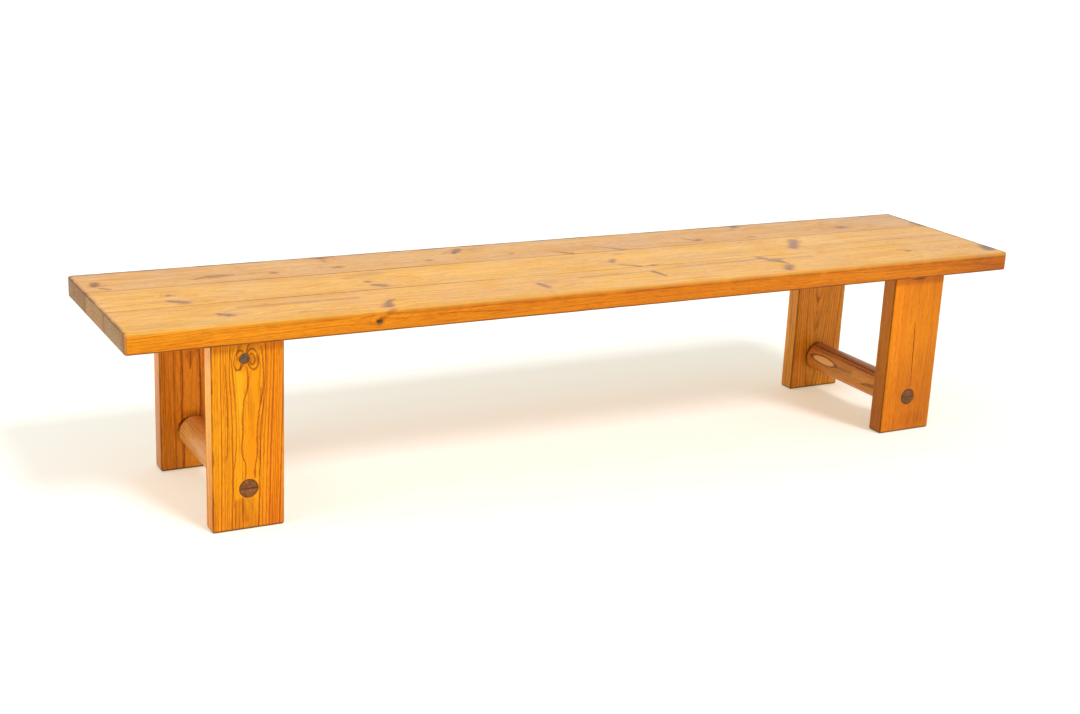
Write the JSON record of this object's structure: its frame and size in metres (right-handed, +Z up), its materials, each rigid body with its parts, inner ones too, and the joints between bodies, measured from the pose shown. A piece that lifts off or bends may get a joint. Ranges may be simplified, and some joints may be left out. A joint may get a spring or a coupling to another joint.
{
  "type": "bench",
  "caption": "Long low pine bench: a plank seat with rounded arrises on slab legs, each pair of legs tied near the floor by a thick round stretcher with wedged through tenons.",
  "frame": {"origin": "on the floor under the middle of the seat", "axes": "+X along the bench to its right end, +Y to the rear, +Z up"},
  "size_m": [2.1, 0.444, 0.425],
  "materials": {
    "seat_pine": "satin varnished honey-coloured pine with dark knots, worn a little at the edges",
    "leg_pine": "satin varnished orange pine with strong straight grain",
    "stretcher_pine": "satin varnished turned pine, browner than the legs",
    "wedge_hardwood": "end grain of a dark hardwood wedge under varnish",
    "tongue_birch": "plain sawn birch plywood",
    "batten_pine": "satin varnished pine",
    "screw_steel": "dull zinc plated steel"
  },
  "bodies": {
    "root": {"seat_plank_front": "seat_pine", "seat_plank_middle": "seat_pine", "seat_plank_rear": "seat_pine", "left_front_leg": "leg_pine", "left_rear_leg": "leg_pine", "right_front_leg": "leg_pine", "right_rear_leg": "leg_pine", "left_stretcher": "stretcher_pine", "right_stretcher": "stretcher_pine", "left_front_wedge": "wedge_hardwood", "left_rear_wedge": "wedge_hardwood", "right_front_wedge": "wedge_hardwood", "right_rear_wedge": "wedge_hardwood", "front_seam_tongue": "tongue_birch", "rear_seam_tongue": "tongue_birch", "left_batten": "batten_pine", "right_batten": "batten_pine", "left_batten_screws": "screw_steel", "right_batten_screws": "screw_steel"}
  },
  "joints": []
}
